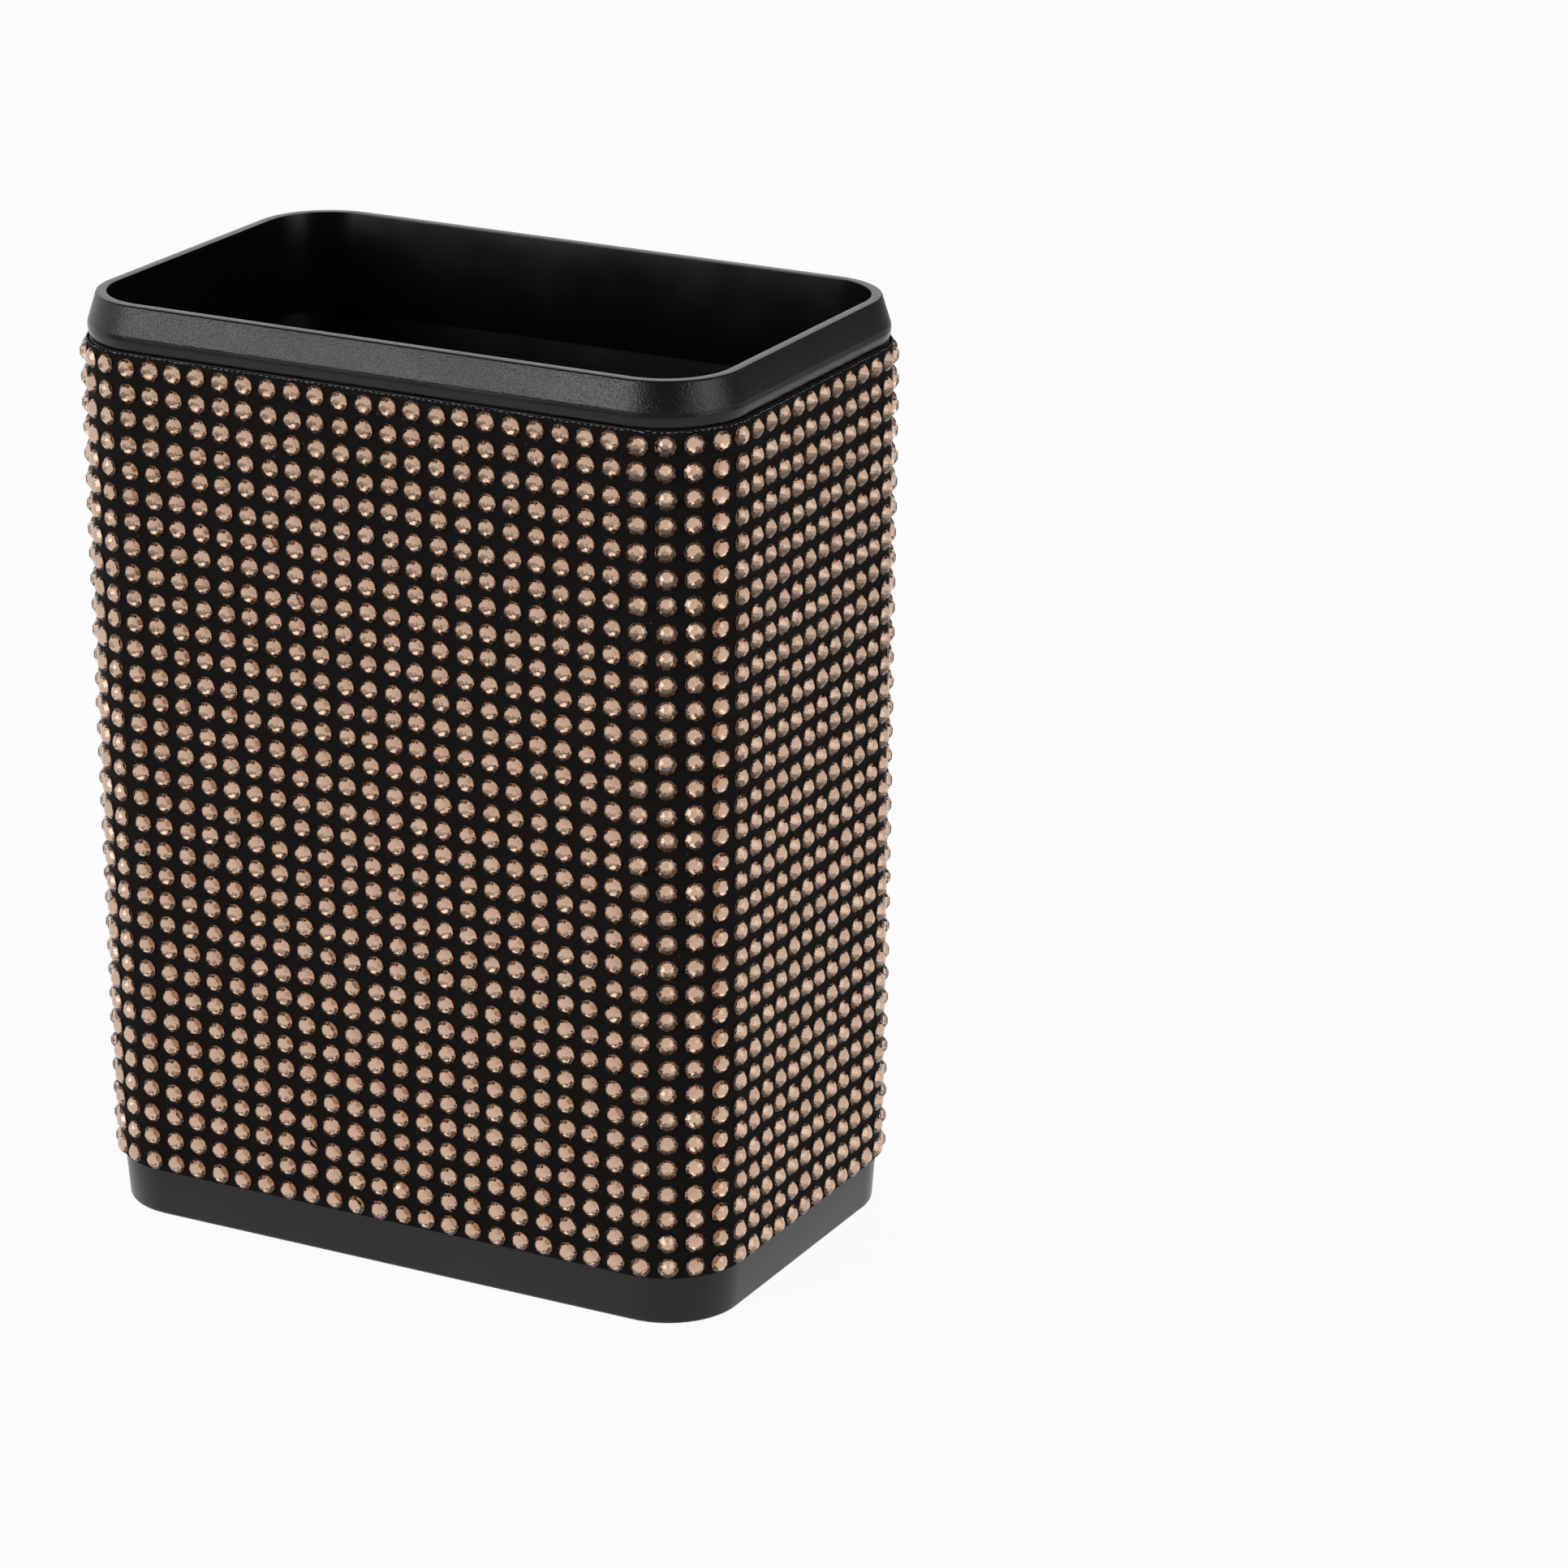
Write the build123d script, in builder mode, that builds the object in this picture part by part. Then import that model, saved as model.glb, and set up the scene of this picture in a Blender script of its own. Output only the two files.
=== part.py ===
"""Car waste bin: a drafted tub in a stone-set sleeve, with a lift-off ring that traps the bag.

Millimetres and degrees. The origin is the middle of the standing plane, +Z is up and the front faces -Y.
Every wall is measured from one outline, the tub's at its shoulder, which the draft shrinks on the way down.
"""
import os
from math import cos, pi, radians, sin, tan

from build123d import *

# Tub: one moulding with drafted walls, a bare base band and a thin tongue round its rim
shoulder_width = 144.2
shoulder_depth = 89.8
corner_radius = 17.1
shoulder_height = 183.2
wall_draft = 0.43
wall = 2.0
floor_thickness = 2.2
floor_chamfer = 3.0
base_band_height = 10.4
base_band_draft = 4.3
base_edge_chamfer = 0.8
foot_width = 7.0
foot_height = 1.5
tongue_height = 2.4
tongue_thickness = 0.8

# Ring: sloped collar outside, flat lip on top, plug wall inside the tub
ring_height = 9.0
ring_overhang = 0.45
ring_skirt_height = 2.5
ring_turn_under = 0.55
ring_bend_radius = 1.0
lip_set_back = 2.0
lip_width = 2.1
lip_chamfer = 0.25
plug_depth = 12.0
plug_wall = 1.5
ring_clearance = 0.3
skirt_gap = 0.2

# Sleeve: cloth band glued round the tub between the ring and the base band
sleeve_thickness = 0.55
sleeve_glue = 0.05
sleeve_ring_gap = 0.3

# Stones: level rows and upright columns set on the sleeve
stone_diameter = 3.7
stone_height = 1.45
column_pitch = 5.4
row_pitch = 5.24
first_row_margin = 2.45
last_row_margin = 2.6

# Derived levels
draft_slope = tan(radians(wall_draft))
tongue_top = shoulder_height + tongue_height
floor_top = foot_height + floor_thickness
sleeve_top = shoulder_height + skirt_gap - sleeve_ring_gap
first_row = base_band_height + first_row_margin
row_count = 1 + round((sleeve_top - last_row_margin - first_row) / row_pitch)


def outline_size(height, growth):
    """Width, depth and corner radius of the drafted wall at a height, grown outwards."""
    side = growth - (shoulder_height - height) * draft_slope
    return shoulder_width + 2 * side, shoulder_depth + 2 * side, corner_radius + side


def drafted_block(top, bottom, growth, mode=Mode.ADD):
    """Extrude the wall's outline down from one level to another along the draft."""
    with BuildSketch(Plane.XY.offset(top)) as outline:
        RectangleRounded(*outline_size(top, growth))
    extrude(outline.sketch, amount=bottom - top, taper=wall_draft, mode=mode)


with BuildPart() as bucket:
    drafted_block(shoulder_height, base_band_height, 0)
    band_top = bucket.faces().sort_by(Axis.Z)[0]
    extrude(band_top, amount=base_band_height, taper=base_band_draft)
    chamfer(bucket.faces().sort_by(Axis.Z)[0].edges(), base_edge_chamfer)
    drafted_block(tongue_top, shoulder_height, tongue_thickness - wall)
    drafted_block(tongue_top, floor_top, -wall, mode=Mode.SUBTRACT)
    chamfer(bucket.faces().filter_by(Plane.XY).sort_by(Axis.Z)[1].edges(), floor_chamfer)
    with BuildSketch(Plane.XY):
        base_width, base_depth, base_radius = outline_size(0, -foot_width)
        RectangleRounded(base_width, base_depth, base_radius)
    extrude(amount=foot_height, mode=Mode.SUBTRACT)


def plug_face(level, growth):
    """Place on the ring's plug wall, which follows the draft inside the tub, seen from the shoulder."""
    return growth + level * draft_slope, level


with BuildPart() as bag_ring:
    with BuildSketch(Plane.XY.offset(shoulder_height), mode=Mode.PRIVATE) as rim:
        RectangleRounded(*outline_size(shoulder_height, 0))
    rim_path = rim.sketch.wire()
    along = rim_path % 0
    with BuildSketch(Plane(rim_path @ 0, x_dir=along.cross(Vector(0, 0, 1)), z_dir=-along)) as section:
        lip_edge = ring_overhang - lip_set_back
        groove_outer = tongue_thickness - wall + ring_clearance
        groove_inner = -wall - ring_clearance
        with BuildLine():
            Polyline(
                (ring_overhang - ring_turn_under, skirt_gap),
                (ring_overhang, ring_skirt_height),
                (lip_edge, ring_height),
                (lip_edge - lip_width, ring_height),
                plug_face(-plug_depth, groove_inner - plug_wall),
                plug_face(-plug_depth, groove_inner),
                plug_face(tongue_height, groove_inner),
                (groove_outer, tongue_height),
                (groove_outer, skirt_gap),
                close=True,
            )
        make_face()
        chamfer(section.vertices().group_by(Axis.Y)[-1], lip_chamfer)
        fillet(section.vertices().sort_by(Axis.X)[-1], ring_bend_radius)
    sweep(path=rim_path)


with BuildPart() as sleeve:
    drafted_block(sleeve_top, base_band_height, sleeve_glue + sleeve_thickness)
    drafted_block(sleeve_top, base_band_height, sleeve_glue, mode=Mode.SUBTRACT)


def outline_seat(station, size):
    """Point and outward angle at a distance along a rounded rectangle, from the middle of its front."""
    width, depth, radius = size
    turn = pi / 2 * radius
    half, side, back = width / 2 - radius, depth - 2 * radius, width - 2 * radius
    x, y, heading = 0, -depth / 2, 0
    for index, run in enumerate((half, turn, side, turn, back, turn, side, turn, half)):
        step = min(station, run)
        if index % 2:
            bend = step / radius
            x += radius * (sin(heading + bend) - sin(heading))
            y += radius * (cos(heading) - cos(heading + bend))
            heading += bend
        else:
            x += step * cos(heading)
            y += step * sin(heading)
        station -= step
    return x, y, heading - pi / 2


def girth(size):
    """Length once round a rounded rectangle."""
    width, depth, radius = size
    return 2 * (width + depth) - (8 - 2 * pi) * radius


def stone_seats():
    """Seats on the sleeve: every row shares its girth among the same number of upright columns."""
    growth = sleeve_glue + sleeve_thickness
    middle = outline_size((sleeve_top + base_band_height) / 2, growth)
    column_count = 2 * round(girth(middle) / column_pitch / 2)
    lean = radians(wall_draft)
    seats = []
    for row in range(row_count):
        height = first_row + row * row_pitch
        size = outline_size(height, growth)
        for column in range(column_count):
            x, y, out = outline_seat(column * girth(size) / column_count, size)
            outward = (cos(lean) * cos(out), cos(lean) * sin(out), -sin(lean))
            seats.append(Plane((x, y, height), x_dir=(-sin(out), cos(out), 0), z_dir=outward).location)
    return seats


with BuildPart() as stone:
    with BuildSketch() as girdle:
        RegularPolygon(stone_diameter / 2, 3, rotation=90)
    loft(sections=[girdle.face(), Vertex(0, 0, stone_height)], ruled=True)

with BuildPart() as rhinestones:
    with Locations(*stone_seats()):
        add(stone.part, clean=False)

os.makedirs("parts", exist_ok=True)
for name, piece in (
    ("bucket", bucket),
    ("bag_ring", bag_ring),
    ("sleeve", sleeve),
    ("rhinestones", rhinestones),
):
    piece.part.label = name
    export_step(piece.part, f"parts/{name}.step")
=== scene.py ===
"""Looks of a car waste bin: black tub, lift-off bag ring, cloth sleeve with a sewn hem, rose stones.

Metres, +Z up, front towards -Y, origin in the middle of the standing plane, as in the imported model.
Every wall is a profile carried round one rounded rectangle, so neighbouring pieces stay parallel.
"""
from math import cos, pi, radians, sin, tan

import bpy
import numpy as np
from mathutils import Euler, Matrix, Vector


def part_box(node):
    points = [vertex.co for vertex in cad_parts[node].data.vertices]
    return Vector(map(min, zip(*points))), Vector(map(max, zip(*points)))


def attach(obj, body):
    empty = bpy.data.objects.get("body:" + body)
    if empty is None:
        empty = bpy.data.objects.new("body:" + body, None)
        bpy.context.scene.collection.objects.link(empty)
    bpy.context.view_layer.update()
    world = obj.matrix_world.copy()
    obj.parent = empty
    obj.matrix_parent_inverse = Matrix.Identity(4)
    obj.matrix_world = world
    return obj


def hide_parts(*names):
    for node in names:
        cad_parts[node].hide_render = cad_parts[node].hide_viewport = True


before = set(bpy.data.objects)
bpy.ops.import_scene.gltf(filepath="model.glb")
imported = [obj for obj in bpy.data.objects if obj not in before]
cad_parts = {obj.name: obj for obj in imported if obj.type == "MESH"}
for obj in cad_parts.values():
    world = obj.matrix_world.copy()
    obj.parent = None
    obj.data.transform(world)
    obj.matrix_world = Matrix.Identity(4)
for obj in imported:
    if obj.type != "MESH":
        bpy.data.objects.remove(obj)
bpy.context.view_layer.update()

MM = 0.001
chance = np.random.default_rng(2706)

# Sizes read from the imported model
tub_low, tub_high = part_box("bucket")
ring_low, ring_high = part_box("bag_ring")
sleeve_low, sleeve_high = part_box("sleeve")

# Tub: its outline at the shoulder is the one every wall is measured from
shoulder_width = tub_high.x - tub_low.x
shoulder_depth = tub_high.y - tub_low.y
corner_radius = 17.1 * MM
tongue_height = 2.4 * MM
tongue_thickness = 0.8 * MM
shoulder_height = tub_high.z - tongue_height
draft_slope = tan(radians(0.43))
wall = 2.0 * MM
floor_top = 3.7 * MM
floor_radius = 3.0 * MM
band_slope = tan(radians(4.3))
base_edge_radius = 1.0 * MM
foot_width = 7.0 * MM
foot_height = 1.5 * MM
moulded_edge = 0.25 * MM

# Ring: collar and lip outside, plug wall inside the tub
ring_overhang = 0.45 * MM
ring_skirt_height = 2.5 * MM
ring_turn_under = 0.55 * MM
ring_bend_radius = 3.4 * MM
lip_set_back = 2.0 * MM
lip_width = 2.1 * MM
lip_radius = 0.15 * MM
lip_outer_radius = 0.38 * MM
plug_wall = 1.5 * MM
ring_clearance = 0.3 * MM
skirt_gap = 0.2 * MM
skirt_edge = 0.12 * MM
groove_edge = 0.05 * MM

# Sleeve and its sewn hem; each spread is the least and the most share of a stitch's own size
sleeve_thickness = 0.55 * MM
sleeve_glue = 0.05 * MM
cloth_edge_radius = 0.2 * MM
stitch_pitch = 1.30 * MM
stitch_share = 0.80
stitch_radius = 0.095 * MM
stitch_rise = 0.12 * MM
stitch_slant = 0.08 * MM
stitch_sink = 0.6
stitch_taper = 0.12
stitch_length_spread = (0.40, 1.15)
stitch_thickness_spread = (0.45, 1.2)
stitch_rise_spread = (0.5, 1.1)
hem_drop = 0.13 * MM

# Stones: level rows and upright columns all round the sleeve
stone_columns = 82
laid_columns = 40
laid_before = 22
laid_from = 0.1074
front_pitch = 5.40 * MM
side_pitch = 5.45 * MM
stone_rows = 33
row_pitch = 5.24 * MM
first_row = sleeve_low.z + 2.30 * MM
stone_radius = 2.08 * MM
stone_sides = 9
stone_height = 1.30 * MM
shoulder_share = 0.66
shoulder_rise = 0.89 * MM
girdle_height = 0.22 * MM
table_share = 0.35
seat_wander = 0.10 * MM
seat_tilt = 0.028
tilt_limit = 1.4 * seat_tilt
seat_lift = 0.08 * MM
size_spread = 0.025
size_limits = (0.94, 1.03)
middle_tone = 0.5
stone_tone_spread = 0.03
facet_tone_spread = 0.04

# Finishes: tone and gloss wander by these shares as the noise under them goes from low to high
noise_low, noise_high = 0.3, 0.7
patch_scale = 60.0
patch_tone = 0.2
patch_gloss = 0.04
collar_roughness = 0.08
paper_glow = 0.94

# Stage: bearings are in degrees to the right of the front, seen from the bin
floor_half_width = 4.0
floor_drop = 0.02 * MM
overhead_level = 0.18
veil_tone = 1.9
lamp_aim_height = 0.1
camera_azimuth = 27.725
camera_elevation = 19.474
camera_roll = 0.198
camera_place = (0.57018, -0.95970, 0.48400)
camera_lens = 134.386
camera_sensor = 36.0
camera_near = 0.05

# Mesh fineness
corner_steps = 24
side_steps = 18
edge_steps = 5
stitch_steps = 5
stitch_sides = 6
same_place = 1e-7
sharp_angle = radians(38)


def rounded_rectangle(width, depth, radius):
    """Closed outline from the middle of the front, anticlockwise.

    Each quarter is half a side, a corner arc centred one radius in from both sides, and half the
    next side. Returns the points, the angle turned and the length walked so far.
    """
    turn = np.linspace(0, pi / 2, corner_steps + 1)
    centre_x, centre_y = width / 2 - radius, depth / 2 - radius
    leaving = np.linspace(0, 1, side_steps, endpoint=False)
    arriving = 1 - leaving - 1 / side_steps
    steady = np.ones(side_steps)
    angles, xs, ys = [], [], []
    for quarter, (sign_x, sign_y) in enumerate(((1, -1), (1, 1), (-1, 1), (-1, -1))):
        angle = turn + quarter * pi / 2
        arc_x = sign_x * centre_x + radius * np.sin(angle)
        arc_y = sign_y * centre_y - radius * np.cos(angle)
        before = (leaving, steady) if quarter % 2 == 0 else (steady, leaving)
        after = (steady, arriving) if quarter % 2 == 0 else (arriving, steady)
        angles += [angle[0] * steady, angle, angle[-1] * steady]
        xs += [arc_x[0] * before[0], arc_x, arc_x[-1] * after[0]]
        ys += [arc_y[0] * before[1], arc_y, arc_y[-1] * after[1]]
    points = np.column_stack([np.concatenate(xs), np.concatenate(ys)])
    angles = np.concatenate(angles)
    fresh = np.append(True, np.linalg.norm(np.diff(points, axis=0), axis=1) > same_place)
    points, angles = points[fresh], angles[fresh]
    lengths = np.append(0, np.cumsum(np.linalg.norm(np.diff(points, axis=0), axis=1)))
    return points, angles, lengths


outline_points, outline_turns, outline_lengths = rounded_rectangle(
    shoulder_width, shoulder_depth, corner_radius)
outline_columns = len(outline_points) - 1


def outward(turns):
    """Outward normal of the outline where it has turned by an angle: the front faces -Y at no turn."""
    return np.stack([np.sin(turns), -np.cos(turns)], axis=-1)


def girth_at(growth):
    """Length once round the outline grown outwards: longer by the growth times a whole turn."""
    return outline_lengths[-1] + growth * 2 * pi


def places_round(shares, growth):
    """Points and turned angles at shares of the girth of the outline grown outwards.

    A parallel curve is longer than the outline by the growth times the angle turned.
    """
    lengths = outline_lengths + growth * outline_turns
    along = shares * lengths[-1]
    turns = np.interp(along, lengths, outline_turns)
    base = [np.interp(along, lengths, outline_points[:, axis]) for axis in (0, 1)]
    return np.stack(base, axis=-1) + growth * outward(turns), turns


def drafted(height, growth):
    """Offset from the shoulder outline of a drafted wall at a height."""
    return growth - (shoulder_height - height) * draft_slope


def rounded_profile(corners, closed):
    """Profile through (offset, height, radius) corners, each replaced by the arc that touches its sides.

    The arc's centre lies on the corner's bisector, and its points swing evenly from one touching
    point to the other.
    """
    corners = np.asarray(corners, float)
    here, radius = corners[:, :2], corners[:, 2:]
    before = np.roll(here, 1, axis=0) - here
    after = np.roll(here, -1, axis=0) - here
    before /= np.linalg.norm(before, axis=1, keepdims=True)
    after /= np.linalg.norm(after, axis=1, keepdims=True)
    half_angle = np.arccos(np.clip((before * after).sum(1, keepdims=True), -1, 1)) / 2
    bisector = before + after
    bisector /= np.linalg.norm(bisector, axis=1, keepdims=True)
    centre = here + bisector * radius / np.sin(half_angle)
    arm_in = here + before * radius / np.tan(half_angle) - centre
    arm_out = here + after * radius / np.tan(half_angle) - centre
    swing = (pi - 2 * half_angle)[:, None]
    share = np.linspace(0, 1, edge_steps)[None, :, None]
    arcs = np.sin((1 - share) * swing) * arm_in[:, None] + np.sin(share * swing) * arm_out[:, None]
    arcs = centre[:, None] + arcs / np.sin(swing)
    if closed:
        return arcs.reshape(-1, 2)
    return np.vstack([here[:1], arcs[1:-1].reshape(-1, 2), here[-1:]])


def mesh_piece(name, vertices, faces, body, node, material):
    """Object at the origin from vertices and faces, riding a body and finished with one material."""
    mesh = bpy.data.meshes.new(name)
    mesh.from_pydata(vertices.reshape(-1, 3).tolist(), [], faces)
    mesh.update()
    mesh.materials.append(material)
    piece = bpy.data.objects.new(name, mesh)
    bpy.context.scene.collection.objects.link(piece)
    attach(piece, body)
    if node:
        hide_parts(node)
    return piece


def surface_map(mesh, columns, rows):
    """UV map in metres: length round the outline across, length along the profile up."""
    layer = mesh.uv_layers.new(name="surface")
    vertex = np.empty(len(mesh.loops), np.int32)
    mesh.loops.foreach_get("vertex_index", vertex)
    across = columns[vertex % len(columns)]
    up = rows[np.minimum(vertex // len(columns), len(rows) - 1)]
    layer.data.foreach_set("uv", np.column_stack([across, up]).astype(np.float32).ravel())


def carried(name, profile, closed, body, node, material):
    """Profile of (offset, height) carried round the outline: its points, pushed out by the offset.

    Rows follow the profile and columns the outline. A closed profile joins its last row to its first,
    and an open one is capped by strips that join each place of its end rows to the place mirrored
    across the front's middle.
    """
    rows, columns = len(profile), outline_columns
    grid = np.empty((rows, columns, 3))
    grid[..., :2] = outline_points[:-1] + profile[:, :1, None] * outward(outline_turns[:-1])
    grid[..., 2] = profile[:, 1:]
    number = np.arange(rows * columns).reshape(rows, columns)
    lower, upper = (number, np.roll(number, -1, 0)) if closed else (number[:-1], number[1:])
    quads = np.stack([lower, np.roll(lower, -1, 1), np.roll(upper, -1, 1), upper], axis=-1)
    faces = quads.reshape(-1, 4).tolist()
    if not closed:
        half = columns // 2
        near, far = np.arange(half), columns - np.arange(half)
        strips = np.stack([near, near + 1, far - 1, far % columns], axis=-1)[1:-1]
        ends = np.array([[1, 0, columns - 1], [half - 1, half + 1, half]])
        last_row = number[-1, 0]
        faces += strips[:, ::-1].tolist() + ends.tolist()
        faces += (strips + last_row).tolist() + (ends[:, ::-1] + last_row).tolist()
    piece = mesh_piece(name, grid, faces, body, node, material)
    steps = np.linalg.norm(np.diff(profile, axis=0), axis=1)
    surface_map(piece.data, outline_lengths[:-1], np.append(0, np.cumsum(steps)))
    piece.data.shade_smooth()
    piece.data.set_sharp_from_angle(angle=sharp_angle)
    return piece


def mark_rows(piece, name, rows, marked):
    """Point attribute that is 1 on the marked rows of the profile, all round, and 0 elsewhere."""
    values = np.zeros(rows)
    values[marked] = 1.0
    mark = piece.data.attributes.new(name, "FLOAT", "POINT")
    mark.data.foreach_set("value", np.repeat(values, outline_columns).astype(np.float32))


# Materials
def new_material(name):
    """New material with the default shader: returns the material, its node tree and the shader."""
    material = bpy.data.materials.new(name)
    material.use_nodes = True
    tree = material.node_tree
    return material, tree, tree.nodes["Principled BSDF"]


def add_node(tree, kind, links=(), **values):
    """New node with its properties and inputs set, and inputs linked from other nodes' outputs."""
    node = tree.nodes.new(kind)
    for key, value in values.items():
        if hasattr(node, key):
            setattr(node, key, value)
        else:
            node.inputs[key.replace("_", " ")].default_value = value
    for name, source in links:
        tree.links.new(source, node.inputs[name])
    return node


def object_place(tree):
    """Place on the piece in its own metres."""
    return add_node(tree, "ShaderNodeTexCoord").outputs["Object"]


def colour_ramp(tree, factor, stops):
    """Ramp from factor through (position, colour) stops."""
    ramp = add_node(tree, "ShaderNodeValToRGB", [("Fac", factor)])
    stripe = ramp.color_ramp.elements
    while len(stripe) < len(stops):
        stripe.new(0.5)
    for element, (position, colour) in zip(stripe, stops):
        element.position = position
        element.color = (*colour, 1)
    return ramp.outputs["Color"]


def colour_mix(tree, factor, first, second):
    """Colour that goes from a linked first to a plain second as the factor goes from 0 to 1."""
    mix = add_node(tree, "ShaderNodeMix", [("Factor", factor), ("A", first)],
                   data_type="RGBA", B=(*second, 1))
    return mix.outputs["Result"]


def grain_group():
    """Moulded grain: fine sparked pits as a height, and slow patches for gloss and tone."""
    group = bpy.data.node_groups.new("moulded_grain", "ShaderNodeTree")
    for name, default in (("Pit Scale", 2500.0), ("Patch Scale", 90.0)):
        socket = group.interface.new_socket(name, in_out="INPUT", socket_type="NodeSocketFloat")
        socket.default_value = default
    for name in ("Height", "Patch"):
        group.interface.new_socket(name, in_out="OUTPUT", socket_type="NodeSocketFloat")
    sizes = add_node(group, "NodeGroupInput")
    place = object_place(group)
    pit_links = [("Vector", place), ("Scale", sizes.outputs["Pit Scale"])]
    pits = add_node(group, "ShaderNodeTexNoise", pit_links, Detail=2.0, Roughness=0.7)
    patch_links = [("Vector", place), ("Scale", sizes.outputs["Patch Scale"])]
    patch = add_node(group, "ShaderNodeTexNoise", patch_links, Detail=3.0, Roughness=0.5)
    result = add_node(group, "NodeGroupOutput")
    group.links.new(pits.outputs["Fac"], result.inputs["Height"])
    group.links.new(patch.outputs["Fac"], result.inputs["Patch"])
    return group


moulded_grain = grain_group()


def use_grain(tree, pit_scale):
    """Place the moulded grain group in a material with its own pits and the shared patches."""
    node = add_node(tree, "ShaderNodeGroup")
    node.node_tree = moulded_grain
    node.inputs["Pit Scale"].default_value = pit_scale
    node.inputs["Patch Scale"].default_value = patch_scale
    return node


def bumped(tree, shader, height, strength, distance):
    """Bump the shader's normal by a height."""
    bump = add_node(tree, "ShaderNodeBump", [("Height", height)],
                    Strength=strength, Distance=distance)
    tree.links.new(bump.outputs["Normal"], shader.inputs["Normal"])


def black_moulding(name, colour, inside_shade_colour, roughness, pit_scale, pit_depth, gloss_level,
                   mask=None):
    """Black moulded plastic: pitted grain in the bump, uneven gloss, a little tone in the patches.

    Where the piece's "inside" mark is 1 the colour turns to a deeper black, painted shade down in the
    bin.
    Where a mask is named, the grain and its extra roughness are only where its mark is 1.
    """
    material, tree, shader = new_material(name)
    grain = use_grain(tree, pit_scale)
    patch, height = grain.outputs["Patch"], grain.outputs["Height"]
    colour = np.array(colour)
    shade = colour_ramp(tree, patch, [(noise_low, colour * (1 - patch_tone)),
                                      (noise_high, colour * (1 + patch_tone))])
    # Painted shade: the inside mark swaps the colour for a deeper black on the walls down in the bin
    inside = add_node(tree, "ShaderNodeAttribute", attribute_name="inside").outputs["Fac"]
    tree.links.new(colour_mix(tree, inside, shade, inside_shade_colour), shader.inputs["Base Color"])
    gloss = add_node(tree, "ShaderNodeMapRange", [("Value", patch)],
                     From_Min=noise_low, From_Max=noise_high,
                     To_Min=roughness - patch_gloss, To_Max=roughness + patch_gloss)
    if mask:
        area = add_node(tree, "ShaderNodeAttribute", attribute_name=mask).outputs["Fac"]
        height = add_node(tree, "ShaderNodeMath", [(0, height), (1, area)],
                          operation="MULTIPLY").outputs[0]
        gloss = add_node(tree, "ShaderNodeMath", [(0, area), (2, gloss.outputs[0])],
                         operation="MULTIPLY_ADD")
        gloss.inputs[1].default_value = collar_roughness
    tree.links.new(gloss.outputs[0], shader.inputs["Roughness"])
    shader.inputs["Specular IOR Level"].default_value = gloss_level
    bumped(tree, shader, height, 1.0, pit_depth)
    return material


def stone_glass():
    """Clear cut glass over the foil, with faint polishing haze."""
    material, tree, shader = new_material("stone_glass")
    haze = add_node(tree, "ShaderNodeTexNoise", [("Vector", object_place(tree))],
                    Scale=900.0, Detail=2.0)
    rough = add_node(tree, "ShaderNodeMapRange", [("Value", haze.outputs["Fac"])],
                     From_Min=noise_low, From_Max=noise_high, To_Min=0.0, To_Max=0.03)
    tree.links.new(rough.outputs[0], shader.inputs["Roughness"])
    shader.inputs["Base Color"].default_value = (1, 1, 1, 1)
    shader.inputs["IOR"].default_value = 1.52
    shader.inputs["Specular Tint"].default_value = (1.0, 0.76, 0.60, 1)
    shader.inputs["Transmission Weight"].default_value = 1.0
    return material


def stone_foil():
    """Rose foil on the flat back of each stone, a mirror whose tint differs a little between stones."""
    material, tree, shader = new_material("rose_foil")
    tone = add_node(tree, "ShaderNodeAttribute", attribute_name="facet_tone")
    colour = colour_ramp(tree, tone.outputs["Fac"], [
        (0.0, (0.460, 0.290, 0.195)),
        (0.5, (0.600, 0.400, 0.285)),
        (1.0, (0.740, 0.540, 0.410)),
    ])
    tree.links.new(colour, shader.inputs["Base Color"])
    shader.inputs["Metallic"].default_value = 1.0
    shader.inputs["Roughness"].default_value = 0.06
    return material


def stone_edge():
    """Dull brown lacquer on the girdle wall, where the foil ends."""
    material, tree, shader = new_material("stone_edge")
    smear = add_node(tree, "ShaderNodeTexNoise", [("Vector", object_place(tree))],
                     Scale=1500.0, Detail=2.0)
    colour = colour_ramp(tree, smear.outputs["Fac"], [
        (noise_low, (0.30, 0.215, 0.165)),
        (noise_high, (0.44, 0.325, 0.255)),
    ])
    tree.links.new(colour, shader.inputs["Base Color"])
    shader.inputs["Metallic"].default_value = 0.6
    shader.inputs["Roughness"].default_value = 0.45
    return material


def cloth_material():
    """Black woven cloth: two crossed ribs of yarn in the bump, faint yarn tone and stray pale lint."""
    material, tree, shader = new_material("sleeve_cloth")
    surface = add_node(tree, "ShaderNodeUVMap", uv_map="surface").outputs["UV"]
    ribs = []
    for direction in ("X", "Y"):
        wave = add_node(tree, "ShaderNodeTexWave", [("Vector", surface)], bands_direction=direction,
                        Scale=390.0, Distortion=1.2, Detail=1.0)
        ribs.append(wave.outputs["Fac"])
    weave = add_node(tree, "ShaderNodeMath", [(0, ribs[0]), (1, ribs[1])],
                     operation="MAXIMUM").outputs[0]
    lint = add_node(tree, "ShaderNodeTexVoronoi", [("Vector", object_place(tree))],
                    feature="F1", Scale=260.0)
    speck = add_node(tree, "ShaderNodeMapRange", [("Value", lint.outputs["Distance"])],
                     From_Min=0.03, From_Max=0.055, To_Min=1.0, To_Max=0.0)
    yarn = colour_ramp(tree, weave, [
        (0.0, (0.0030, 0.0026, 0.0023)),
        (1.0, (0.0050, 0.0043, 0.0037)),
    ])
    shade = colour_mix(tree, speck.outputs[0], yarn, (0.06, 0.055, 0.05))
    tree.links.new(shade, shader.inputs["Base Color"])
    shader.inputs["Roughness"].default_value = 0.95
    shader.inputs["Specular IOR Level"].default_value = 0.15
    bumped(tree, shader, weave, 0.8, 0.06 * MM)
    return material


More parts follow.
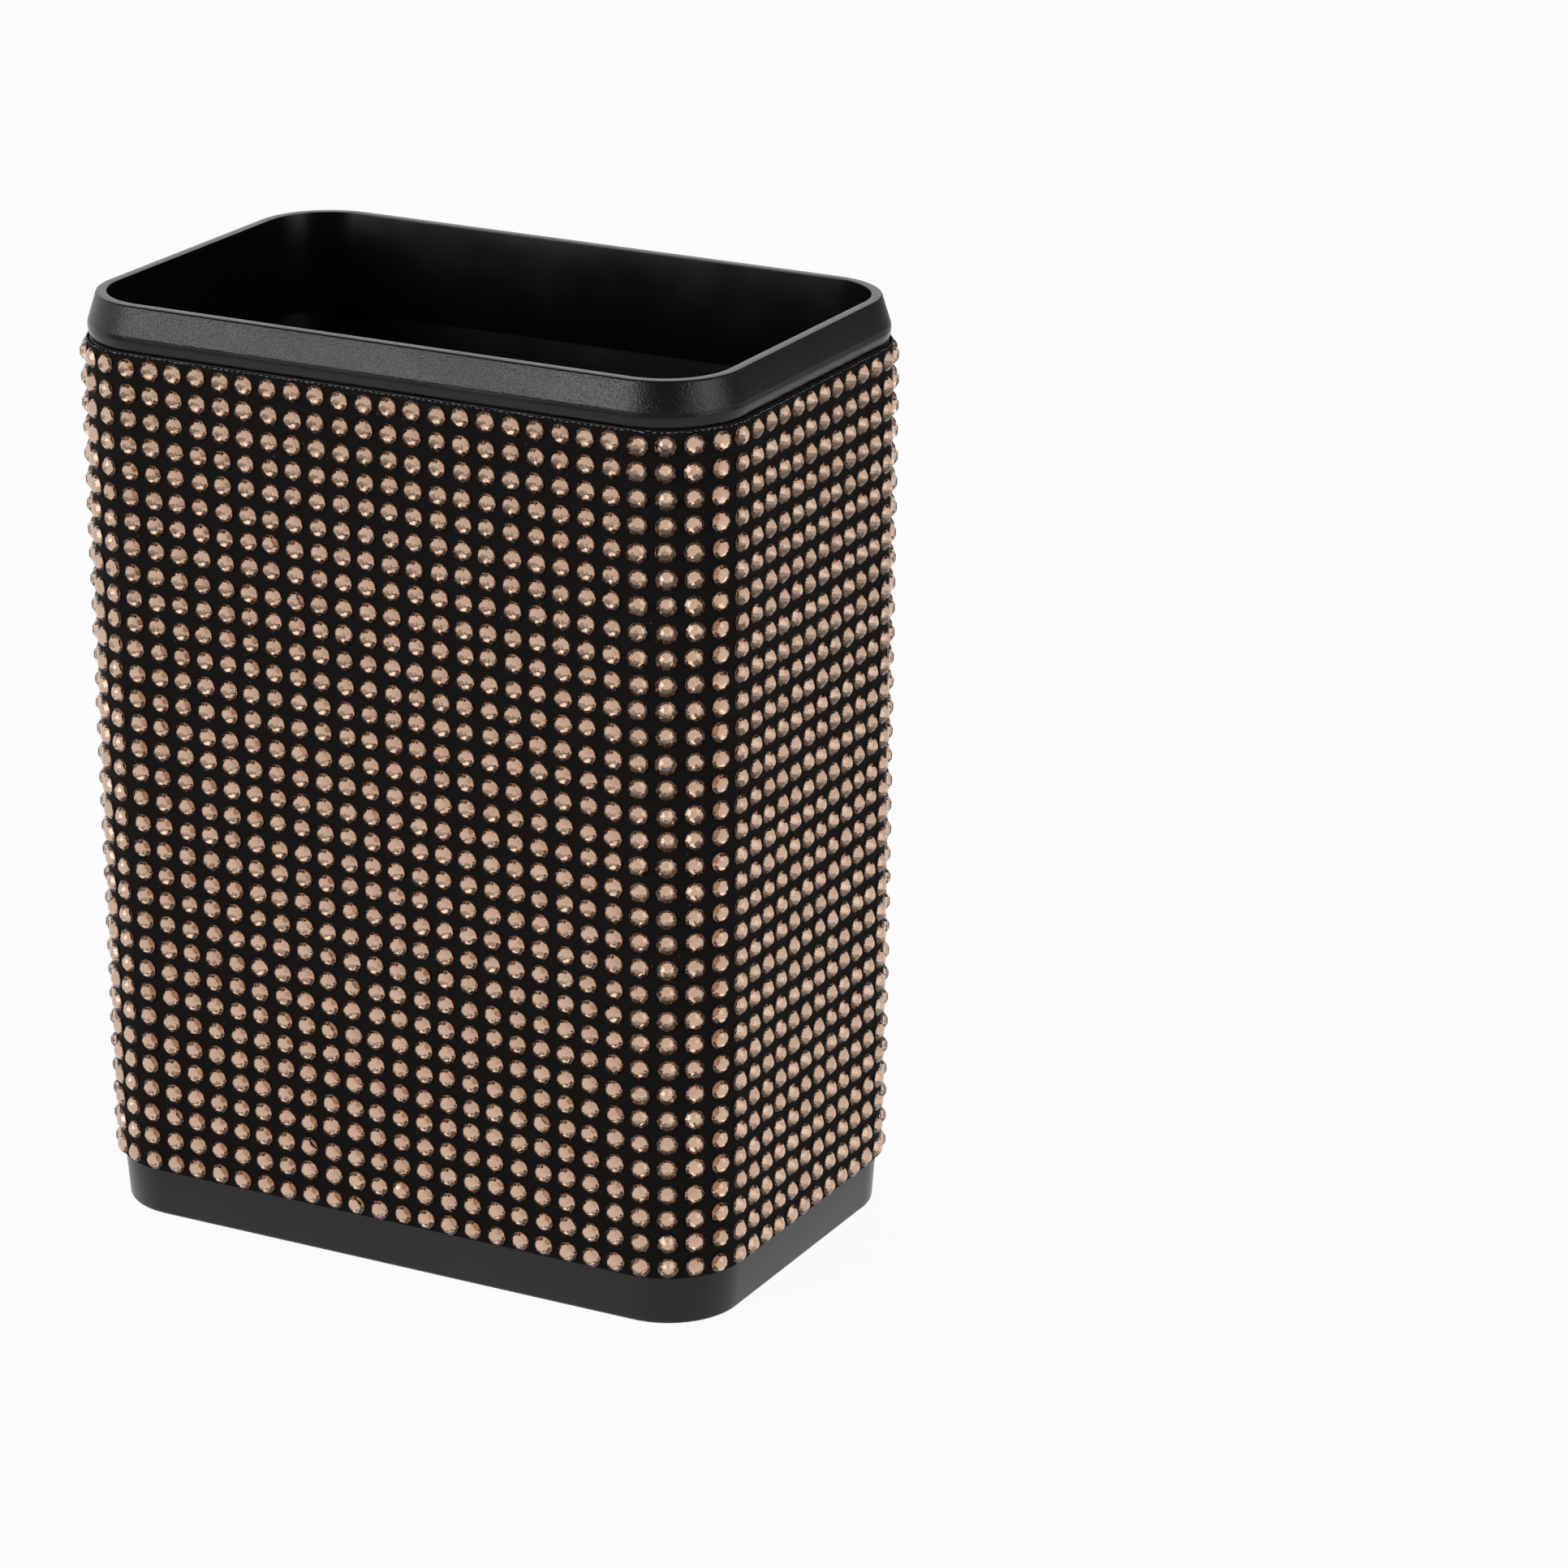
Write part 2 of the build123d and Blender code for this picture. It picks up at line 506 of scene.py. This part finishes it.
def thread_material():
    """Sewing thread: dull grey with fine twisted plies along it."""
    material, tree, shader = new_material("hem_thread")
    plies = add_node(tree, "ShaderNodeTexWave", [("Vector", object_place(tree))],
                     bands_direction="DIAGONAL", Scale=2600.0, Distortion=2.0)
    shade = colour_ramp(tree, plies.outputs["Fac"], [
        (0.0, (0.10, 0.10, 0.10)),
        (1.0, (0.32, 0.315, 0.31)),
    ])
    tree.links.new(shade, shader.inputs["Base Color"])
    shader.inputs["Roughness"].default_value = 0.6
    return material


def floor_material():
    """White paper: seen and mirrored as white, with part of the light left to carry the shadow."""
    material, tree, shader = new_material("white_paper")
    tree.nodes.remove(shader)
    fibre = add_node(tree, "ShaderNodeTexNoise", [("Vector", object_place(tree))],
                     Scale=800.0, Detail=2.0)
    white = colour_ramp(tree, fibre.outputs["Fac"], [
        (0.0, (0.92, 0.92, 0.92)),
        (1.0, (0.94, 0.94, 0.94)),
    ])
    paper = add_node(tree, "ShaderNodeBsdfDiffuse", [("Color", white)])
    glow = add_node(tree, "ShaderNodeEmission", Color=(1, 1, 1, 1))
    ray = add_node(tree, "ShaderNodeLightPath").outputs
    mirrored = add_node(tree, "ShaderNodeMath",
                        [(0, ray["Is Camera Ray"]), (1, ray["Is Glossy Ray"])], operation="ADD")
    seen = add_node(tree, "ShaderNodeMath",
                    [(0, mirrored.outputs[0]), (1, ray["Is Transmission Ray"])],
                    operation="ADD", use_clamp=True)
    share = add_node(tree, "ShaderNodeMath", [(0, seen.outputs[0])], operation="MULTIPLY")
    share.inputs[1].default_value = paper_glow
    mix = add_node(tree, "ShaderNodeMixShader",
                   [(0, share.outputs[0]), (1, paper.outputs[0]), (2, glow.outputs[0])])
    tree.links.new(mix.outputs[0], tree.nodes["Material Output"].inputs["Surface"])
    return material


def card_material(name, foot_tone, head_tone, fade):
    """Even glow that goes from its foot's tone to its head's between the fade's two heights."""
    material, tree, shader = new_material(name)
    tree.nodes.remove(shader)
    height = add_node(tree, "ShaderNodeSeparateXYZ", [("Vector", object_place(tree))]).outputs["Z"]
    tone = add_node(tree, "ShaderNodeMapRange", [("Value", height)],
                    From_Min=fade[0], From_Max=fade[1], To_Min=foot_tone, To_Max=head_tone)
    glow = add_node(tree, "ShaderNodeEmission", [("Strength", tone.outputs[0])], Color=(1, 1, 1, 1))
    tree.links.new(glow.outputs[0], tree.nodes["Material Output"].inputs["Surface"])
    return material


# Pieces
def tub():
    """Tub: from the recess under the foot up the outside, over the tongue and down to the floor."""
    band_top = sleeve_low.z
    band_growth = drafted(band_top, 0)
    base_edge = band_growth - band_top * band_slope
    recess_edge = drafted(0, -foot_width)
    tongue_outer = tongue_thickness - wall
    profile = rounded_profile([
        (recess_edge - 2 * floor_radius, foot_height, 0),
        (recess_edge, foot_height, moulded_edge),
        (recess_edge, 0, moulded_edge),
        (base_edge, 0, base_edge_radius),
        (band_growth, band_top, moulded_edge),
        (drafted(shoulder_height, 0), shoulder_height, moulded_edge),
        (drafted(shoulder_height, tongue_outer), shoulder_height, moulded_edge),
        (drafted(tub_high.z, tongue_outer), tub_high.z, moulded_edge),
        (drafted(tub_high.z, -wall), tub_high.z, moulded_edge),
        (drafted(floor_top, -wall), floor_top, floor_radius),
        (drafted(floor_top, -wall) - 2 * floor_radius, floor_top, 0),
    ], closed=False)
    finish = black_moulding("tub_plastic", colour=(0.0115, 0.0115, 0.0118),
                            inside_shade_colour=(0.0026, 0.0026, 0.0027), roughness=0.30,
                            pit_scale=1600.0, pit_depth=0.006 * MM, gloss_level=0.26)
    piece = carried("bucket_moulding", profile, False, "bin", "bucket", finish)
    # The last two corners and the end point are the inner wall and the floor, where the inside mark
    # paints shade as a deeper black
    mark_rows(piece, "inside", len(profile), slice(-1 - 2 * edge_steps, None))


def bag_ring():
    """Ring: turned-under skirt, sloping collar and flat lip outside, plug wall and groove inside."""
    top = ring_high.z
    plug_bottom = ring_low.z
    lip_edge = ring_overhang - lip_set_back
    groove_outer = tongue_thickness - wall + ring_clearance
    groove_inner = -wall - ring_clearance
    skirt_foot = shoulder_height + skirt_gap
    profile = rounded_profile([
        (ring_overhang - ring_turn_under, skirt_foot, skirt_edge),
        (ring_overhang, shoulder_height + ring_skirt_height, ring_bend_radius),
        (lip_edge, top, lip_outer_radius),
        (lip_edge - lip_width, top, lip_radius),
        (drafted(plug_bottom, groove_inner - plug_wall), plug_bottom, moulded_edge),
        (drafted(plug_bottom, groove_inner), plug_bottom, moulded_edge),
        (drafted(tub_high.z, groove_inner), tub_high.z, moulded_edge),
        (groove_outer, tub_high.z, moulded_edge),
        (groove_outer, skirt_foot, groove_edge),
    ], closed=True)
    finish = black_moulding("ring_plastic", colour=(0.0050, 0.0050, 0.0052),
                            inside_shade_colour=(0.0024, 0.0024, 0.0025), roughness=0.22,
                            pit_scale=2100.0, pit_depth=0.125 * MM, gloss_level=0.29, mask="grain")
    piece = carried("bag_ring_moulding", profile, True, "ring", "bag_ring", finish)
    # The grain lies between the bend and the lip; the inside, painted a deeper black as shade, runs from
    # the lip's inner edge down the plug
    mark_rows(piece, "grain", len(profile), slice(2 * edge_steps - 1, 2 * edge_steps + 1))
    mark_rows(piece, "inside", len(profile), slice(4 * edge_steps - 1, 5 * edge_steps))


def sleeve():
    """Sleeve: the cloth's section, drafted with the wall, with soft edges above and below."""
    inner, outer = sleeve_glue, sleeve_glue + sleeve_thickness
    bottom, top = sleeve_low.z, sleeve_high.z
    profile = rounded_profile([
        (drafted(bottom, inner), bottom, cloth_edge_radius),
        (drafted(bottom, outer), bottom, cloth_edge_radius),
        (drafted(top, outer), top, cloth_edge_radius),
        (drafted(top, inner), top, cloth_edge_radius),
    ], closed=True)
    finish = cloth_material()
    return carried("sleeve_band", profile, True, "bin", "sleeve", finish)


def hem_stitches(growth, height):
    """Running stitches round the hem: each a round thread that rises from the cloth and dips back in.

    Its middle line follows the outline for part of a pitch, lifted by half a sine wave, and a circle
    that thins towards both ends is carried along it.
    """
    count = round(girth_at(growth) / stitch_pitch)
    along = np.linspace(0, 1, stitch_steps)
    around = np.linspace(0, 2 * pi, stitch_sides, endpoint=False)
    length = stitch_share * chance.uniform(*stitch_length_spread, count)[:, None]
    shares = (np.arange(count)[:, None] + 0.5 + (along - 0.5) * length) / count
    middle, turns = places_round(shares, growth)
    out = outward(turns)
    thinning = np.sin(pi * (stitch_taper + (1 - 2 * stitch_taper) * along))
    thick = stitch_radius * chance.uniform(*stitch_thickness_spread, count)[:, None] * thinning
    rise = chance.uniform(*stitch_rise_spread, count)[:, None]
    lift = stitch_rise * np.sin(pi * along) * rise - thick * stitch_sink
    slant = chance.normal(0, stitch_slant, (count, 2))
    level = height + slant[:, :1] * (1 - along) + slant[:, 1:] * along
    rows = np.empty((count, len(along), len(around), 3))
    push = lift[..., None] + thick[..., None] * np.cos(around)
    rows[..., :2] = middle[:, :, None] + push[..., None] * out[:, :, None]
    rows[..., 2] = level[..., None] + thick[..., None] * np.sin(around)
    number = np.arange(rows[..., 0].size).reshape(rows.shape[:3])
    low, high = number[:, :-1], number[:, 1:]
    quads = np.stack([low, high, np.roll(high, -1, 2), np.roll(low, -1, 2)], axis=-1)
    caps = np.concatenate([number[:, 0], number[:, -1, ::-1]])
    faces = quads.reshape(-1, 4).tolist() + caps.tolist()
    piece = mesh_piece("hem_stitches", rows, faces, "bin", None, thread_material())
    piece.data.shade_smooth()
    return piece


def stone_template():
    """One stone on its flat back: rings of corners at back, girdle, shoulder and table, flat facets.

    Each ring is a regular polygon with its own radius and height. Returns the vertices, the
    four-cornered facets (girdle wall, lower crown, upper crown) and the two polygons that close the
    back and the table.
    """
    angle = np.arange(stone_sides) * 2 * pi / stone_sides
    radii = stone_radius * np.array([1.0, 1.0, shoulder_share, table_share])
    rings = np.empty((4, stone_sides, 3))
    rings[..., 0] = radii[:, None] * np.cos(angle)
    rings[..., 1] = radii[:, None] * np.sin(angle)
    rings[..., 2] = np.array([0.0, girdle_height, shoulder_rise, stone_height])[:, None]
    number = np.arange(4 * stone_sides).reshape(4, stone_sides)
    after = np.roll(number, -1, axis=1)
    quads = np.stack([number[:-1], after[:-1], after[1:], number[1:]], axis=-1).reshape(-1, 4)
    return rings.reshape(-1, 3), [quads, np.stack([number[0, ::-1], number[3]])]


def column_shares(growth):
    """Shares of a row's girth where columns stand.

    The sheet is laid from the front right corner: it keeps its own pitch over the front and the right
    side, and the columns of the back and the left share evenly what is left of the girth, which the
    draft shortens downwards.
    """
    girth = girth_at(growth)
    steps = np.arange(laid_columns) - laid_before
    laid = laid_from * girth + steps * np.where(steps < 0, front_pitch, side_pitch)
    rest = np.linspace(laid[-1], laid[0] + girth, stone_columns - laid_columns + 2)[1:-1]
    return np.concatenate([laid, rest]) / girth % 1


def rhinestones(growth):
    """Stones on every seat: the template turned, tilted a little and set flat on the drafted cloth.

    Every row has the same number of columns. A seat's axes are along the row, up the wall and outward,
    and the stone's own turn, tilt, size and wander are drawn once for each stone.
    """
    template, facets = stone_template()
    heights = first_row + np.arange(stone_rows) * row_pitch
    growths = drafted(heights, growth)
    rows = [places_round(column_shares(row_growth), row_growth) for row_growth in growths]
    count = stone_rows * stone_columns
    ground = np.concatenate([points for points, turns in rows])
    turns = np.concatenate([turns for points, turns in rows])
    out = np.column_stack([outward(turns), np.full(count, -draft_slope)])
    side = np.column_stack([np.cos(turns), np.sin(turns), np.zeros(count)])
    tilt = chance.normal(0, seat_tilt, (count, 2)).clip(-tilt_limit, tilt_limit)
    out += tilt[:, :1] * side
    out[:, 2] += tilt[:, 1]
    out /= np.linalg.norm(out, axis=1, keepdims=True)
    up = np.cross(out, side)
    up /= np.linalg.norm(up, axis=1, keepdims=True)
    side = np.cross(up, out)
    seat = np.column_stack([ground, np.repeat(heights, stone_columns)])
    wander = chance.normal(0, seat_wander, (count, 2))
    seat += wander[:, :1] * side + wander[:, 1:] * up + seat_lift * out
    spin = chance.uniform(0, 2 * pi / stone_sides, count)
    axis_x = np.cos(spin)[:, None] * side + np.sin(spin)[:, None] * up
    axis_y = np.cos(spin)[:, None] * up - np.sin(spin)[:, None] * side
    size = chance.normal(1, size_spread, count).clip(*size_limits)[:, None, None]
    axes = np.stack([axis_x, axis_y, out], axis=1)
    vertices = seat[:, None] + size * np.einsum("vk,skc->svc", template, axes)
    start = (np.arange(count) * len(template))[:, None, None]
    groups = [(start + facet).reshape(-1, facet.shape[1]) for facet in facets]
    stone_tone = middle_tone + chance.normal(0, stone_tone_spread, (count, 1))
    tone = [stone_tone + chance.normal(0, facet_tone_spread, (count, len(facet))) for facet in facets]
    faces = [face for group in groups for face in group.tolist()]
    piece = mesh_piece("rhinestone_rows", vertices, faces, "bin", "rhinestones",
                       stone_glass())
    piece.data.materials.append(stone_foil())
    piece.data.materials.append(stone_edge())
    glass, foil, edge = 0, 1, 2
    finishes = [np.repeat([edge, glass, glass], stone_sides), np.array([foil, glass])]
    finish = np.concatenate([np.tile(group, count) for group in finishes])
    piece.data.polygons.foreach_set("material_index", finish.astype(np.int32))
    mark = piece.data.attributes.new("facet_tone", "FLOAT", "FACE")
    tone = np.concatenate([shade.ravel() for shade in tone]).clip(0, 1)
    mark.data.foreach_set("value", tone.astype(np.float32))


# Stage: paper floor, surround light, lamps, cards and camera
def stage_sheet(name, corners, material):
    """One flat four-cornered face that belongs to the stage, not to the bin."""
    mesh = bpy.data.meshes.new(name)
    mesh.from_pydata(corners.tolist(), [], [[0, 1, 2, 3]])
    mesh.materials.append(material)
    sheet = bpy.data.objects.new(name, mesh)
    bpy.context.scene.collection.objects.link(sheet)
    return sheet


def paper_floor():
    """Flat square floor a hair under the standing plane."""
    corners = np.array([(-1, -1, 0), (1, -1, 0), (1, 1, 0), (-1, 1, 0)]) * floor_half_width
    stage_sheet("paper_floor", corners - (0, 0, floor_drop), floor_material())


def surround():
    """White room with a dimmer ceiling: its strength falls smoothly as the direction turns upwards."""
    world = bpy.data.worlds.new("surround")
    bpy.context.scene.world = world
    world.use_nodes = True
    tree = world.node_tree
    direction = add_node(tree, "ShaderNodeTexCoord").outputs["Generated"]
    upward = add_node(tree, "ShaderNodeSeparateXYZ", [("Vector", direction)]).outputs["Z"]
    level = add_node(tree, "ShaderNodeMapRange", [("Value", upward)],
                     interpolation_type="SMOOTHSTEP",
                     From_Min=0.45, From_Max=0.75, To_Min=1.0, To_Max=overhead_level)
    background = tree.nodes["Background"]
    background.inputs["Color"].default_value = (1, 1, 1, 1)
    tree.links.new(level.outputs[0], background.inputs["Strength"])


def stage_card(name, bearing, distance, width, height, foot_tone, head_tone, fade, foot=0.0):
    """Upright glowing card at a bearing and distance from the bin, which the camera sees past.

    Gloss and glass mirror it. Its glow goes from the foot's tone to the head's over the fade's heights.
    """
    out = np.array([sin(radians(bearing)), -cos(radians(bearing)), 0.0])
    side = np.array([-out[1], out[0], 0.0])
    up = np.array([0.0, 0.0, 1.0])
    spread = np.array([-0.5, 0.5, 0.5, -0.5])[:, None] * width * side
    rise = np.array([0.0, 0.0, 1.0, 1.0])[:, None] * height * up
    corners = out * distance + spread + rise + foot * up
    card = stage_sheet(name, corners, card_material(name, foot_tone, head_tone, fade))
    card.visible_camera = False
    return card


def soft_lamp(name, bearing, distance, middle, width, height, power):
    """Rectangular soft lamp at a bearing and distance from the bin, facing it.

    A dimmer card, the veil, stands in for the lamp where it is seen through glass, so that the stones
    keep their colour there.
    """
    data = bpy.data.lights.new(name, "AREA")
    data.shape = "RECTANGLE"
    data.size = width
    data.size_y = height
    data.energy = power
    lamp = bpy.data.objects.new(name, data)
    bpy.context.scene.collection.objects.link(lamp)
    turn = radians(bearing)
    lamp.location = (distance * sin(turn), -distance * cos(turn), middle)
    lamp.rotation_euler = (pi / 2 - np.arctan2(middle - lamp_aim_height, distance), 0, turn)
    lamp.visible_camera = False
    lamp.visible_transmission = False
    veil = stage_card(name + "_veil", bearing, distance, width, height, veil_tone, veil_tone,
                      fade=(0.0, 1.0), foot=middle - height / 2)
    veil.visible_glossy = False
    veil.visible_diffuse = False
    veil.visible_shadow = False


def photo_camera():
    """Long lens from the front right, looking down a little, with the bin left of the middle."""
    data = bpy.data.cameras.new("photo_camera")
    data.lens = camera_lens
    data.sensor_width = camera_sensor
    data.clip_start = camera_near
    camera = bpy.data.objects.new("photo_camera", data)
    bpy.context.scene.collection.objects.link(camera)
    camera.location = camera_place
    aim = Euler((radians(90 - camera_elevation), 0, radians(camera_azimuth))).to_matrix()
    camera.rotation_euler = (aim @ Matrix.Rotation(radians(camera_roll), 3, "Z")).to_euler()
    bpy.context.scene.camera = camera


cloth_growth = sleeve_glue + sleeve_thickness
hem_height = sleeve_high.z - hem_drop
tub()
bag_ring()
sleeve_piece = sleeve()
hem_piece = hem_stitches(drafted(hem_height, cloth_growth), hem_height)
rhinestones(cloth_growth)

paper_floor()
surround()
soft_lamp("left_softbox", bearing=-27.0, distance=1.5, middle=0.58, width=0.75, height=0.50, power=13.8)
soft_lamp("right_softbox", bearing=83.0, distance=1.5, middle=0.65, width=0.75, height=1.00, power=8.4)
soft_lamp("back_softbox", bearing=207.7, distance=1.5, middle=0.73, width=1.20, height=0.50, power=0.1)
stage_card("low_front_card", bearing=-10.0, distance=0.56, width=1.5, height=0.17,
           foot_tone=0.50, head_tone=0.24, fade=(0.04, 0.16))
stage_card("camera_side_card", bearing=camera_azimuth, distance=0.75, width=1.2, height=1.1,
           foot_tone=0.25, head_tone=0.05, fade=(0.15, 0.25))
stage_card("back_right_card", bearing=150.0, distance=0.64, width=1.0, height=0.7,
           foot_tone=0.50, head_tone=0.18, fade=(0.05, 0.18))
photo_camera()
bpy.context.scene.view_settings.view_transform = "Standard"
